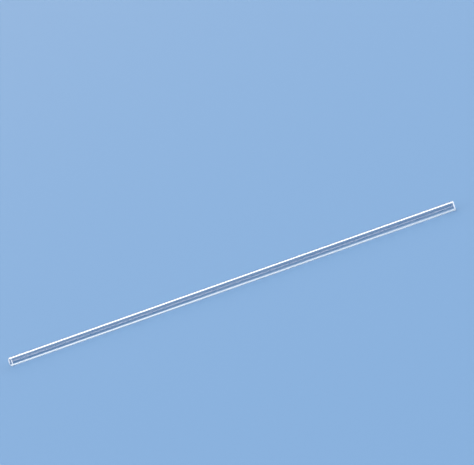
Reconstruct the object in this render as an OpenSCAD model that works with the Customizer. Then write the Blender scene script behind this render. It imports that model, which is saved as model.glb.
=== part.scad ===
// Glass capillary tube: one length of thin-walled clear glass tubing, drawn round and open
// right through. Both ends are cut square, and heat has melted their sharp edges smooth.
//
// The tube lies along X, as it comes to rest on a flat surface. The origin is on that
// surface, under the middle of the tube's length. +Z is up, and sizes are in millimetres.

/* [Tube] */
// Length over both ends
tube_length = 75; // [30:0.5:150]
// Outer diameter
outer_d = 1.5; // [1:0.05:5]
// Thickness of the glass wall, which leaves the bore inside it
wall = 0.2; // [0.1:0.01:0.4]

/* [Ends] */
// Radius of the melted outer edge at both ends
melt_outer_r = 0.14; // [0.02:0.01:0.3]
// Radius of the melted edge of the bore at both ends
melt_bore_r = 0.04; // [0.02:0.01:0.1]

/* [Hidden] */
$fn = 96;

outer_r = outer_d / 2;
bore_r = outer_r - wall;
// A flat ring stays between the two melted edges of an end, however thin the wall is
max_melt_share = 0.9;
melt_fit = min(1, wall * max_melt_share / (melt_outer_r + melt_bore_r));

// What melting takes off a square corner at [0, 0]: a small square less a circle in it
module melted_away(r) {
    difference() {
        square(r);
        translate([r, r])
            circle(r = r);
    }
}

// The wall cut lengthwise: a long strip that runs up from zero, with its four corners melted.
// Its left side, at zero, is the bore, and its right side is the outer wall.
module wall_section() {
    difference() {
        square([wall, tube_length]);
        for (top = [0, 1])
            translate([0, top * tube_length])
                mirror([0, top]) {
                    melted_away(melt_bore_r * melt_fit);
                    translate([wall, 0])
                        mirror([1, 0])
                            melted_away(melt_outer_r * melt_fit);
                }
    }
}

// The wall turned round the tube's own axis, then laid down on the surface
module tube() {
    color("lightcyan", 0.35)
        translate([-tube_length / 2, 0, outer_r])
            rotate([0, 90, 0])
                rotate_extrude()
                    translate([bore_r, 0])
                        wall_section();
}

tube();
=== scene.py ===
"""Glass capillary tube: the looks of one straight length of thin-walled clear glass tubing.

The tube lies along X on a plain pale floor, as the CAD model has it. Its wall is one closed
surface turned round the tube's axis, with the bore open right through and both ends melted
smooth. Sizes of the tube and places of the camera are in millimetres. Those of the studio
round it are in metres, and so is everything that Blender gets.
"""

import math

import bpy
import numpy as np
from mathutils import Matrix, Vector


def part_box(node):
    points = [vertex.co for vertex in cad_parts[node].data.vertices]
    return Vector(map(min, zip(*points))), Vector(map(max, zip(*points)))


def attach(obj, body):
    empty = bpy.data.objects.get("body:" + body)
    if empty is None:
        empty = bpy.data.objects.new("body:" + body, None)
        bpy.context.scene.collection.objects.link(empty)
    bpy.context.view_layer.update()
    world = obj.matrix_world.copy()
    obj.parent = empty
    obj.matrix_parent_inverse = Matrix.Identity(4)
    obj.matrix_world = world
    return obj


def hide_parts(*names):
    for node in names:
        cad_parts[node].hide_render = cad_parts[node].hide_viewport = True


MM = 0.001  # metres in a millimetre
TINY = 1e-6  # millimetres, for rounding when places are compared

# The tube
WALL = 0.2  # thickness of the glass
MELT_OUT = 0.14  # radius of the melted outer edges
MELT_IN = 0.04  # radius of the melted edges of the bore
END_HIGHLIGHT_WIDTH = 0.18  # how far in from an end the wall is painted white, a painted highlight
ROUND_STEPS = 192  # faces round the tube
LENGTH_STEPS = 160  # faces along the wall between the melted edges
MELT_STEPS = 10  # faces over each melted edge

# The glass
GLASS_IOR = 1.5
GLASS_TINT = (0.985, 0.995, 1.0)
SHADOW_TINT = (0.945, 0.955, 0.965)  # what each surface lets through to the floor
# The ends are painted partly white: a painted highlight for light that comes out of the wall there
END_TINT = (0.97, 0.98, 1.0)
END_CLEARNESS = 0.45  # how much of an end is see-through, and the rest is painted white as a painted highlight
END_ROUGHNESS = 0.2

# Draw lines: faint ridges along the glass, from a noise pattern that is stretched along X
DRAW_LINE_CELLS = (8, 7000, 7000)  # in a metre along the tube, across it and up
DRAW_LINE_DETAIL = 2.0
DRAW_LINE_HEIGHT = 6e-6  # metres
DRAW_LINE_STRENGTH = 0.9

# The floor
FLOOR_COLOUR = (0.17, 0.305, 0.50)
FLOOR_ROUGHNESS = 0.7
FLOOR_SHINE = 0.2
FLOOR_SIZE = 8.0  # metres

# Softboxes, which all face the middle of the floor. Places and sizes are in metres.
KEY_PLACE = (0.0, -0.7, 1.2)
KEY_SIZE = (1.8, 1.4)
KEY_WATTS = 3.0
SIDE_PLACE = (1.0, -0.5, 0.45)  # on the right, with its twin on the left
SIDE_SIZE = (0.9, 0.7)
SIDE_WATTS = 1.6

# The surroundings: angles above the horizon, in degrees, and the colour that stands there
WHITE_BELOW = (1.12, 1.20, 1.28)
PALE_BELOW = (0.28, 0.44, 0.66)
BLUE_BELOW = (0.17, 0.33, 0.56)
DEEP_BLUE = (0.11, 0.22, 0.42)
DARK_BLUE = (0.01, 0.11, 0.31)
WHITE_ABOVE = (2.00, 2.04, 2.08)
DIM_OVERHEAD = (0.34, 0.38, 0.44)
SURROUNDINGS = (
    (-90, BLUE_BELOW),
    (-80, BLUE_BELOW),
    (-74, WHITE_BELOW),
    (-61, WHITE_BELOW),
    (-45, PALE_BELOW),
    (-29, DEEP_BLUE),
    (-26, DARK_BLUE),
    (-21, DARK_BLUE),
    (-18, DEEP_BLUE),
    (0, DEEP_BLUE),
    (8, WHITE_ABOVE),
    (40, WHITE_ABOVE),
    (50, DIM_OVERHEAD),
    (90, DIM_OVERHEAD),
)
BACKDROP = (0.72, 0.82, 0.93)  # what the camera itself sees past the floor's far edge

# The camera stands in front of the tube's right end and above it, and looks past its middle
CAMERA_PLACE = (35.0, -168.6, 75.8)
CAMERA_AIM = (1.64, 19.69, 0.75)
CAMERA_ROLL = -23.5  # degrees
CAMERA_LENS = 91.0
CAMERA_NEAR = 0.01  # metres
CAMERA_FAR = 20.0  # metres

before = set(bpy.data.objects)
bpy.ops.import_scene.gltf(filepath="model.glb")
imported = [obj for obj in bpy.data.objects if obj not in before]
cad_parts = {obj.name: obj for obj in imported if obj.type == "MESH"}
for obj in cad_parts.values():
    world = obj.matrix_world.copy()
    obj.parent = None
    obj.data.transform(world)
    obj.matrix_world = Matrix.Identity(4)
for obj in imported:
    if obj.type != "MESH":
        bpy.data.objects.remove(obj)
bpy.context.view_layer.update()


def in_scene(name, data):
    """A new object at the origin, put into the scene."""
    thing = bpy.data.objects.new(name, data)
    bpy.context.scene.collection.objects.link(thing)
    return thing


def melted_profile(half_length, bore_r, outer_r):
    """The outline of the wall cut lengthwise, as points (x, r), once round anticlockwise.

    Each of the four corners is a quarter circle about a centre that lies its radius m in
    from both faces: (x, r) = centre + m (cos a, sin a). Straight runs join them: the outer
    wall, the bore, and a flat ring at each end.
    """
    turn = np.linspace(0, math.pi / 2, MELT_STEPS + 1)
    x_out, x_in = half_length - MELT_OUT, half_length - MELT_IN
    corners = (
        (x_out, outer_r - MELT_OUT, MELT_OUT, 0),
        (-x_out, outer_r - MELT_OUT, MELT_OUT, math.pi / 2),
        (-x_in, bore_r + MELT_IN, MELT_IN, math.pi),
        (x_in, bore_r + MELT_IN, MELT_IN, 3 * math.pi / 2),
    )
    arcs = [
        np.column_stack([x + m * np.cos(start + turn), r + m * np.sin(start + turn)])
        for x, r, m, start in corners
    ]
    # The straight walls stop where the painted white highlight of each end begins
    x_highlight_start = half_length - END_HIGHLIGHT_WIDTH
    along = np.linspace(x_highlight_start, -x_highlight_start, LENGTH_STEPS - 1)
    outer_wall = np.column_stack([along, np.full(len(along), outer_r)])
    bore_wall = np.column_stack([-along, np.full(len(along), bore_r)])
    return np.vstack([arcs[0], outer_wall, arcs[1], arcs[2], bore_wall, arcs[3]])


def turned(name, profile, axis_height):
    """A closed surface: the profile's (x, r) turned round a line along X at axis_height.

    Vertex (i, j) is (x_i, r_i sin t_j, axis_height + r_i cos t_j), with t_j = 2 pi j / n
    for the n steps round the tube.
    """
    n_profile = len(profile)
    t = 2 * math.pi * np.arange(ROUND_STEPS) / ROUND_STEPS
    x, r = profile[:, 0, None], profile[:, 1, None]
    points = np.stack(
        [x + 0 * t, r * np.sin(t), axis_height + r * np.cos(t)], axis=-1
    ).reshape(-1, 3)
    i, j = np.meshgrid(np.arange(n_profile), np.arange(ROUND_STEPS), indexing="ij")
    i_next, j_next = (i + 1) % n_profile, (j + 1) % ROUND_STEPS
    faces = np.stack(
        [
            i * ROUND_STEPS + j,
            i * ROUND_STEPS + j_next,
            i_next * ROUND_STEPS + j_next,
            i_next * ROUND_STEPS + j,
        ],
        axis=-1,
    ).reshape(-1, 4)
    mesh = bpy.data.meshes.new(name)
    mesh.from_pydata((points * MM).tolist(), [], faces.tolist())
    mesh.validate()
    mesh.shade_smooth()
    return in_scene(name, mesh)


def one_shader(name, tint, roughness):
    """A new material of one Principled shader, and that shader."""
    material = bpy.data.materials.new(name)
    material.use_nodes = True
    shader = material.node_tree.nodes["Principled BSDF"]
    shader.inputs["Base Color"].default_value = (*tint, 1)
    shader.inputs["Roughness"].default_value = roughness
    return material, shader


def clear_glass():
    """Clear drawn glass, with faint draw lines.

    Rays on their way to a lamp, and rays that have left the floor, go straight through it
    with a light tint, so that the tube throws a faint plain shadow.
    """
    material, glass = one_shader("clear_glass", GLASS_TINT, roughness=0.0)
    glass.inputs["Transmission Weight"].default_value = 1.0
    glass.inputs["IOR"].default_value = GLASS_IOR
    nodes, links = material.node_tree.nodes, material.node_tree.links

    place = nodes.new("ShaderNodeTexCoord")
    stretch = nodes.new("ShaderNodeMapping")
    stretch.inputs["Scale"].default_value = DRAW_LINE_CELLS
    links.new(place.outputs["Object"], stretch.inputs["Vector"])
    lines = nodes.new("ShaderNodeTexNoise")
    lines.inputs["Scale"].default_value = 1.0
    lines.inputs["Detail"].default_value = DRAW_LINE_DETAIL
    links.new(stretch.outputs["Vector"], lines.inputs["Vector"])
    bump = nodes.new("ShaderNodeBump")
    bump.inputs["Strength"].default_value = DRAW_LINE_STRENGTH
    bump.inputs["Distance"].default_value = DRAW_LINE_HEIGHT
    links.new(lines.outputs["Fac"], bump.inputs["Height"])
    links.new(bump.outputs["Normal"], glass.inputs["Normal"])

    straight_through = nodes.new("ShaderNodeBsdfTransparent")
    straight_through.inputs["Color"].default_value = (*SHADOW_TINT, 1)
    ray = nodes.new("ShaderNodeLightPath")
    lights_floor = nodes.new("ShaderNodeMath")
    lights_floor.operation = "MAXIMUM"
    links.new(ray.outputs["Is Shadow Ray"], lights_floor.inputs[0])
    links.new(ray.outputs["Is Diffuse Ray"], lights_floor.inputs[1])
    by_ray = nodes.new("ShaderNodeMixShader")
    links.new(lights_floor.outputs["Value"], by_ray.inputs["Fac"])
    links.new(glass.outputs["BSDF"], by_ray.inputs[1])
    links.new(straight_through.outputs["BSDF"], by_ray.inputs[2])
    links.new(by_ray.outputs["Shader"], nodes["Material Output"].inputs["Surface"])
    return material


def painted_highlight_end():
    """The ends, painted partly white: a painted highlight that stands in for light that has run
    along the wall and comes out there.
    """
    material, glass = one_shader("painted_highlight_end", END_TINT, END_ROUGHNESS)
    glass.inputs["Transmission Weight"].default_value = END_CLEARNESS
    glass.inputs["IOR"].default_value = GLASS_IOR
    return material


def floor_blue():
    """The floor's plain matt blue."""
    material, paint = one_shader("floor_blue", FLOOR_COLOUR, FLOOR_ROUGHNESS)
    paint.inputs["Specular IOR Level"].default_value = FLOOR_SHINE
    return material


def make_tube():
    """The tube itself, with its length, its outer radius and its place from the CAD model."""
    low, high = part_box("tube")
    half_length = high.x / MM
    outer_r = (high.y - low.y) / 2 / MM
    profile = melted_profile(half_length, outer_r - WALL, outer_r)
    tube = turned("glass_tube", profile, (low.z + high.z) / 2 / MM)

    # A ring of faces gets the white end glass, a painted highlight, where both the profile points
    # that it joins are near an end
    near_end = np.abs(profile[:, 0]) > half_length - END_HIGHLIGHT_WIDTH - TINY
    ring_has_painted_highlight = near_end & np.roll(near_end, -1)
    tube.data.materials.append(clear_glass())
    tube.data.materials.append(painted_highlight_end())
    tube.data.polygons.foreach_set(
        "material_index", np.repeat(ring_has_painted_highlight.astype(np.int32), ROUND_STEPS)
    )
    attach(tube, "root")
    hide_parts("tube")


def make_floor():
    """One flat square. The glass doesn't bend or mirror it, and shows the surroundings instead."""
    half = FLOOR_SIZE / 2
    mesh = bpy.data.meshes.new("floor")
    corners = [(-half, -half, 0), (half, -half, 0), (half, half, 0), (-half, half, 0)]
    mesh.from_pydata(corners, [], [(0, 1, 2, 3)])
    mesh.materials.append(floor_blue())
    floor = in_scene("floor", mesh)
    floor.visible_transmission = False
    floor.visible_glossy = False


def softbox(name, place, size, watts):
    """A rectangular lamp that faces the middle of the floor, hidden from the camera."""
    lamp = bpy.data.lights.new(name, "AREA")
    lamp.shape = "RECTANGLE"
    lamp.size, lamp.size_y = size
    lamp.energy = watts
    light = in_scene(name, lamp)
    light.location = place
    light.rotation_euler = (-Vector(place)).to_track_quat("-Z", "Y").to_euler()
    light.visible_camera = False


def studio_world():
    """What stands round the tube, by angle: blue behind it, white above and below.

    The glass bends and mirrors its surroundings, so its edges show the white parts and its
    middle shows the blue. The height of a direction is the sine of its angle, from -1 to 1,
    and the colour ramp takes that height as a share from 0 to 1.
    """
    world = bpy.data.worlds.new("studio")
    world.use_nodes = True
    nodes, links = world.node_tree.nodes, world.node_tree.links
    way = nodes.new("ShaderNodeTexCoord")
    split = nodes.new("ShaderNodeSeparateXYZ")
    links.new(way.outputs["Generated"], split.inputs["Vector"])
    share = nodes.new("ShaderNodeMapRange")
    share.inputs["From Min"].default_value = -1
    share.inputs["From Max"].default_value = 1
    links.new(split.outputs["Z"], share.inputs["Value"])
    bands = nodes.new("ShaderNodeValToRGB")
    stops = bands.color_ramp.elements
    for angle, colour in SURROUNDINGS[1:-1]:
        stops.new((math.sin(math.radians(angle)) + 1) / 2).color = (*colour, 1)
    stops[0].color = (*SURROUNDINGS[0][1], 1)
    stops[-1].color = (*SURROUNDINGS[-1][1], 1)
    links.new(share.outputs["Result"], bands.inputs["Fac"])
    links.new(bands.outputs["Color"], nodes["Background"].inputs["Color"])

    backdrop = nodes.new("ShaderNodeBackground")
    backdrop.inputs["Color"].default_value = (*BACKDROP, 1)
    ray = nodes.new("ShaderNodeLightPath")
    by_ray = nodes.new("ShaderNodeMixShader")
    links.new(ray.outputs["Is Camera Ray"], by_ray.inputs["Fac"])
    links.new(nodes["Background"].outputs["Background"], by_ray.inputs[1])
    links.new(backdrop.outputs["Background"], by_ray.inputs[2])
    links.new(by_ray.outputs["Shader"], nodes["World Output"].inputs["Surface"])
    return world


def light_studio():
    """The surroundings and the softboxes, with no bright focus line under the tube."""
    scene = bpy.context.scene
    scene.world = studio_world()
    softbox("key", KEY_PLACE, KEY_SIZE, KEY_WATTS)
    x, y, z = SIDE_PLACE
    for name, side in (("right_side", 1), ("left_side", -1)):
        softbox(name, (side * x, y, z), SIDE_SIZE, SIDE_WATTS)
    scene.cycles.caustics_reflective = False
    scene.cycles.caustics_refractive = False
    scene.view_settings.view_transform = "Standard"


def make_camera():
    """A camera turned about its own line of sight, so that the tube runs up to the right."""
    place, aim = Vector(CAMERA_PLACE) * MM, Vector(CAMERA_AIM) * MM
    camera = in_scene("camera", bpy.data.cameras.new("camera"))
    camera.data.lens = CAMERA_LENS
    camera.data.clip_start = CAMERA_NEAR
    camera.data.clip_end = CAMERA_FAR
    level = (aim - place).to_track_quat("-Z", "Y").to_matrix()
    roll = Matrix.Rotation(math.radians(CAMERA_ROLL), 3, "Z")
    camera.rotation_euler = (level @ roll).to_euler()
    camera.location = place
    bpy.context.scene.camera = camera


make_tube()
make_floor()
light_studio()
make_camera()
